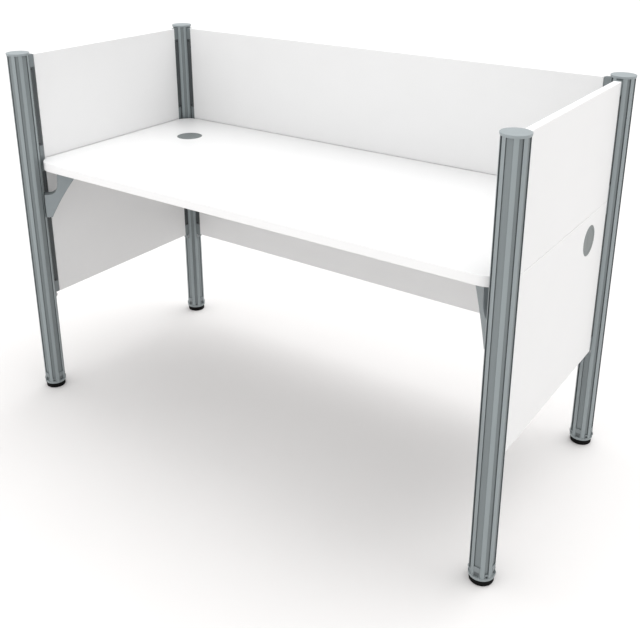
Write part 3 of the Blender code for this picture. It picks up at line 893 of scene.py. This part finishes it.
def make_panel_hardware(metal, rubber, dark_steel, steel):
    for edge, (corner, heading) in PANEL_EDGES.items():
        place = {"location": post_axis(corner), "heading": heading}
        nodes = {kind: f"{kind}_{edge}" for kind in (
            "top_connector", "seam_connector", "bottom_connector", "filler_strip")}
        boxes = {kind: local_box(node, corner, heading) for kind, node in nodes.items()}
        for kind, shape in (
            ("top_connector", top_connector),
            ("seam_connector", seam_connector),
            ("bottom_connector", bottom_connector),
        ):
            node = nodes[kind]
            add_piece(f"cast_{node}", shape(*boxes[kind]), metal, node, slot="aluminium", **place)
        seam_low, seam_high = (box.z for box in boxes["seam_connector"])
        low, high = boxes["filler_strip"]
        strip = filler_strip(low, high, seam_low, seam_high)
        add_piece(f"grooved_{nodes['filler_strip']}", strip, rubber, nodes["filler_strip"],
                  slot="charcoal", **place)
        spots = [(STRIP_SCREW_OUT, height) for height in (
            low.z + STRIP_SCREW_INSET,
            seam_high + STRIP_SCREW_INSET,
            high.z - STRIP_SCREW_INSET,
        )]
        screws = screws_on_both_faces(STRIP_SCREW_RADIUS, high.y, spots)
        add_piece(f"strip_screws_{edge}", screws, dark_steel, slot="charcoal", **place)
        lug_z = boxes["bottom_connector"][0].z + LUG_RADIUS
        screws = screws_on_both_faces(LUG_SCREW_RADIUS, high.y, [(LUG_SCREW_OUT, lug_z)])
        add_piece(f"lug_screws_{edge}", screws, steel, slot="zinc_steel", **place)


# Panels and desktop

def grommet_cut(mesh, liner, place, thickness):
    """The board with a grommet's hole and rebate; place puts +Z out of the board's face."""
    radius = liner_radius(liner) + GAP
    rebate = GROMMET_FLANGE_HEIGHT + GROMMET_SINK + GAP
    profile = [
        (MIDDLE, CUT_MARGIN),
        (radius, CUT_MARGIN),
        (radius, -rebate),
        (GROMMET_HOLE_RADIUS, -rebate),
        (GROMMET_HOLE_RADIUS, -thickness - CUT_MARGIN),
        (MIDDLE, -thickness - CUT_MARGIN),
    ]
    cutter = turned(profile)
    cutter.transform(place)
    return boolean(mesh, cutter, "DIFFERENCE")


def liner_radius(liner):
    low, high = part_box(liner)
    return (high.y - low.y) / 2


def mark_edge_band(mesh, face_axis):
    """Gives the second material to every face that doesn't look along the board's thickness."""
    for polygon in mesh.polygons:
        polygon.material_index = 0 if abs(polygon.normal[face_axis]) > FLAT else 1


def make_panels(face, band):
    for kind in ("privacy_panel", "modesty_panel"):
        for side in ("left", "right", "back"):
            node = f"{kind}_{side}"
            low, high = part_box(node)
            along, across = (0, 1) if side == "back" else (1, 0)
            outline = [
                (low[along], low.z),
                (high[along], low.z),
                (high[along], high.z),
                (low[along], high.z),
            ]
            rounded = round_corners(outline, PANEL_EDGE_ROUNDING)
            mesh = upright(rounded, high[across] - low[across], PANEL_EDGE_ROUNDING)
            if along == 1:
                mesh.transform(Matrix.Rotation(math.radians(90), 4, "Z"))
            shift = Vector((0, 0, 0))
            shift[across] = (low[across] + high[across]) / 2
            mesh.transform(Matrix.Translation(shift))
            if node == "modesty_panel_right":
                centre = centre_of("panel_grommet_liner")
                outer_face = Matrix.Translation((high.x, centre.y, centre.z))
                place = outer_face @ Matrix.Rotation(math.radians(90), 4, "Y")
                mesh = grommet_cut(mesh, "panel_grommet_liner", place, high.x - low.x)
            mark_edge_band(mesh, across)
            add_piece(f"edged_{node}", mesh, (face, band), node, slot="white_laminate")


def make_desktop(face, band):
    low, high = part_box("desktop")
    radius = DESK_CORNER_RADIUS
    outline = []
    for x, y, first in (
        (high.x - radius, low.y + radius, -90),
        (high.x - radius, high.y - radius, 0),
        (low.x + radius, high.y - radius, 90),
        (low.x + radius, low.y + radius, 180),
    ):
        outline += arc((x, y), radius, first, first + 90, CORNER_POINTS)
    mesh = slab([outline], low.z, high.z, DESK_EDGE_ROUNDING)
    centre = centre_of("desk_grommet_liner")
    place = Matrix.Translation((centre.x, centre.y, high.z))
    mesh = grommet_cut(mesh, "desk_grommet_liner", place, high.z - low.z)
    mark_edge_band(mesh, 2)
    add_piece("edged_desktop", mesh, (face, band), "desktop", slot="white_laminate")


def bracket_outline(foot_z, arm_top):
    """The arm's (outward, height) outline: heel, shallow outer sweep, flat top and inner crook."""
    outline = [(BRACKET_HEEL, foot_z), (BRACKET_TOE, foot_z)]
    sweep_end = (BRACKET_ARM_OUTER, arm_top)
    outline += bezier(outline[-1], BRACKET_SWEEP, sweep_end, BRACKET_CURVE_POINTS)
    outline.append((BRACKET_ARM_INNER, arm_top))
    outline.append((BRACKET_ARM_INNER - BRACKET_ARM_LEAN, BRACKET_CROOK_END_Z))
    crook_end = (BRACKET_CROOK_START, BRACKET_SHOULDER_Z)
    outline += bezier(outline[-1], BRACKET_CROOK, crook_end, BRACKET_CURVE_POINTS)
    outline.append((BRACKET_HEEL, BRACKET_SHOULDER_Z))
    return outline


def make_brackets(finish):
    low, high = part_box("desk_bracket_left_front")
    arm = upright(bracket_outline(low.z, high.z), BRACKET_THICKNESS, BRACKET_EDGE)
    half = NARROW_CHANNEL / 2 - GAP
    seat, front = CHANNEL_FLOOR + GAP, BRACKET_HEEL + BRACKET_TONGUE_MARGIN
    tongue = slab(
        [[(seat, -half), (front, -half), (front, half), (seat, half)]],
        low.z + BRACKET_TONGUE_MARGIN, BRACKET_SHOULDER_Z - BRACKET_TONGUE_MARGIN)
    mesh = boolean(arm, tongue, "UNION")
    for corner, heading in INWARD_HEADING.items():
        node = f"desk_bracket_{corner}"
        add_piece(f"cast_{node}", mesh, finish, node, slot="aluminium",
                  location=post_axis(corner), heading=heading)


# Cable grommets

def grommet_liner(flange_radius, length):
    """A flanged sleeve with a ledge inside for the lid; the board's face is at Z = 0."""
    outer = GROMMET_HOLE_RADIUS - GAP
    inner = outer - GROMMET_WALL
    ledge = inner - GROMMET_LEDGE
    top = -GROMMET_SINK
    ledge_top = top - GROMMET_LEDGE_DEPTH
    ledge_low = ledge_top - GROMMET_LEDGE_HEIGHT
    edge = GROMMET_EDGE
    profile = arc((inner + edge / 2, top - edge / 2), edge / 2, 180, 90, FINE_RIM_POINTS)
    profile += arc((flange_radius - edge, top - edge), edge, 90, 0, RIM_POINTS)
    profile += [
        (flange_radius, top - GROMMET_FLANGE_HEIGHT),
        (outer, top - GROMMET_FLANGE_HEIGHT),
        (outer, -length),
        (inner, -length),
        (inner, ledge_low),
        (ledge, ledge_low),
        (ledge, ledge_top),
        (inner, ledge_top),
    ]
    return turned(profile, closed=True)


def grommet_lid(radius):
    """The disc on the ledge, with the curved parting line of its cable flap."""
    edge = GROMMET_EDGE
    top = -2 * GROMMET_SINK
    bottom = -GROMMET_SINK - GROMMET_LEDGE_DEPTH + GAP
    profile = [(MIDDLE, top)] + arc((radius - edge, top - edge), edge, 90, 0, RIM_POINTS)
    profile += [(radius, bottom), (MIDDLE, bottom)]
    centre = (0, FLAP_LINE_OFFSET - FLAP_LINE_RADIUS)
    first, last = 90 - FLAP_LINE_HALF_ANGLE, 90 + FLAP_LINE_HALF_ANGLE
    outline = arc(centre, FLAP_LINE_RADIUS, first, last, FLAP_LINE_POINTS)
    outline += arc(centre, FLAP_LINE_RADIUS - FLAP_LINE_WIDTH, last, first, FLAP_LINE_POINTS)
    line = slab([outline], top - FLAP_LINE_DEPTH, CUT_MARGIN)
    return boolean(turned(profile), line, "DIFFERENCE")


def make_grommets(finish):
    desk_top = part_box("desktop")[1].z
    panel_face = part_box("modesty_panel_right")[1].x
    for name, depth_axis, face in (("desk", 2, desk_top), ("panel", 0, panel_face)):
        liner, lid = f"{name}_grommet_liner", f"{name}_grommet_lid"
        centre = centre_of(liner)
        centre[depth_axis] = face
        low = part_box(liner)[0]
        length = face - low[depth_axis]
        pieces = {
            liner: (grommet_liner(liner_radius(liner), length), CARREL),
            lid: (grommet_lid(liner_radius(lid)), lid),
        }
        # The flap's line lies to the rear on the desk, and to the front on the panel
        turn = Matrix.Identity(4)
        if name == "panel":
            half_turn = Matrix.Rotation(math.radians(180), 4, "Z")
            turn = Matrix.Rotation(math.radians(90), 4, "Y") @ half_turn
        for node, (mesh, body) in pieces.items():
            mesh.transform(turn)
            add_piece(f"moulded_{node}", mesh, finish, node, body, "grommet_grey", centre)


# Studio

def make_floor():
    shape = bmesh.new()
    bmesh.ops.create_grid(shape, x_segments=1, y_segments=1, size=FLOOR_SIZE / 2)
    mesh = bpy.data.meshes.new("floor")
    shape.to_mesh(mesh)
    shape.free()
    finish = Finish("studio_floor", roughness=0.9)
    finish.shader.inputs["Specular IOR Level"].default_value = 0.1
    tone = finish.spread(finish.noise(FLOOR_BLOTCHES), 0, 1)
    dark, pale = (shade(COLOURS["floor"], factor) for factor in FLOOR_SHADES)
    finish.set("Base Color", finish.mix(tone, dark, pale))
    mesh.materials.append(finish.material)
    floor = bpy.data.objects.new("floor", mesh)
    bpy.context.scene.collection.objects.link(floor)


def add_light(name, kind, power):
    """A lamp object, and its light to be shaped."""
    light = bpy.data.lights.new(name, kind)
    light.energy = power
    lamp = bpy.data.objects.new(name, light)
    bpy.context.scene.collection.objects.link(lamp)
    return lamp, light


def aim(lamp, direction):
    lamp.rotation_euler = Vector(direction).to_track_quat("-Z", "Y").to_euler()


def make_lights():
    lamp, light = add_light("overhead", "SUN", SUN_STRENGTH)
    light.angle = math.radians(SUN_SOFTNESS)
    aim(lamp, SUN_DIRECTION)
    for name, (location, size, power) in SOFT_BOXES.items():
        lamp, light = add_light(name, "AREA", power)
        light.shape = "RECTANGLE"
        light.size, light.size_y = size
        lamp.location = location
        aim(lamp, Vector(SOFT_BOX_TARGET) - Vector(location))


def make_world():
    """Soft white surroundings, brightest overhead, behind a plain white background."""
    world = bpy.data.worlds.new("studio")
    bpy.context.scene.world = world
    world.use_nodes = True
    nodes, links = world.node_tree.nodes, world.node_tree.links
    direction = nodes.new("ShaderNodeTexCoord").outputs["Generated"]
    lean = nodes.new("ShaderNodeVectorMath")
    lean.operation = "DOT_PRODUCT"
    lean.inputs[1].default_value = WORLD_LEAN
    links.new(direction, lean.inputs[0])
    glow = nodes.new("ShaderNodeMapRange")
    glow.inputs["From Min"].default_value = WORLD_START
    glow.inputs["To Min"].default_value = WORLD_DARKEST
    glow.inputs["To Max"].default_value = WORLD_BRIGHTEST
    links.new(lean.outputs["Value"], glow.inputs["Value"])
    seen = nodes.new("ShaderNodeLightPath").outputs["Is Camera Ray"]
    strength = nodes.new("ShaderNodeMix")
    links.new(seen, strength.inputs[0])
    links.new(glow.outputs[0], strength.inputs[2])
    strength.inputs[3].default_value = 1.0
    background = nodes["Background"]
    background.inputs["Color"].default_value = (1.0, 1.0, 1.0, 1)
    links.new(strength.outputs[0], background.inputs["Strength"])


def make_camera():
    azimuth, elevation = math.radians(CAMERA_AZIMUTH), math.radians(CAMERA_ELEVATION)
    back = Vector((
        math.sin(azimuth) * math.cos(elevation),
        -math.cos(azimuth) * math.cos(elevation),
        math.sin(elevation)))
    data = bpy.data.cameras.new("camera")
    data.lens = CAMERA_LENS
    data.shift_y = CAMERA_SHIFT_Y
    camera = bpy.data.objects.new("camera", data)
    bpy.context.scene.collection.objects.link(camera)
    target = (cad_box[0] + cad_box[1]) / 2 + Vector(CAMERA_TARGET_OFFSET)
    camera.location = target + back * CAMERA_DISTANCE
    camera.rotation_euler = back.to_track_quat("Z", "Y").to_euler()
    bpy.context.scene.camera = camera


def make_studio():
    make_floor()
    make_world()
    make_lights()
    make_camera()
    bpy.context.scene.view_settings.view_transform = "Standard"


def make_carrel():
    metal, grey = COLOURS["aluminium"], COLOURS["collar"]
    rib = extruded_metal("aluminium_rib", metal)
    # Darker copies of the post's metal: painted shade on the channels' floors, and darker on their
    # sides
    floor = extruded_metal("aluminium_floor_painted_shade", shade(metal, CHANNEL_FLOOR_PAINTED_SHADE), roughness=0.5)
    side = extruded_metal("aluminium_side_painted_shade", shade(metal, CHANNEL_SIDE_PAINTED_SHADE), roughness=0.5)
    casting = coated_metal("casting_grey", COLOURS["casting"])
    connector = coated_metal("connector_grey", COLOURS["connector"])
    cap = moulded_plastic("cap_plastic", COLOURS["cap"], (0.42, 0.52))
    collar = moulded_plastic("collar_plastic", grey, (0.45, 0.55))
    # Darker copies of the collar's colour: painted shade on the fingers, darker still on the window
    # backs
    finger = moulded_plastic("finger_plastic_painted_shade", shade(grey, FINGER_PAINTED_SHADE), (0.5, 0.6))
    recess_painted_shade = moulded_plastic("recess_plastic_painted_shade", shade(grey, RECESS_PAINTED_SHADE), (0.5, 0.6))
    strip = moulded_plastic("charcoal_strip", COLOURS["strip"], (0.5, 0.62))
    pad = moulded_plastic("black_pad", COLOURS["pad"], (0.5, 0.62), rubs=0, shine=0.1)
    grommet = moulded_plastic("grommet_plastic", COLOURS["grommet"], (0.40, 0.5))
    zinc = threaded_steel("zinc_bright", COLOURS["zinc"])
    black_steel = threaded_steel("blackened_steel", COLOURS["black_steel"])
    face = laminate("laminate_face", COLOURS["laminate"], (0.38, 0.46))
    band = laminate("edge_band", COLOURS["edge_band"], (0.30, 0.38))
    make_posts(rib, floor, side)
    make_caps(cap)
    make_collars(collar, finger, recess_painted_shade)
    make_pads(pad)
    make_stems(zinc)
    make_panel_hardware(connector, strip, black_steel, zinc)
    make_panels(face, band)
    make_desktop(face, band)
    make_brackets(casting)
    make_grommets(grommet)


make_carrel()
make_studio()
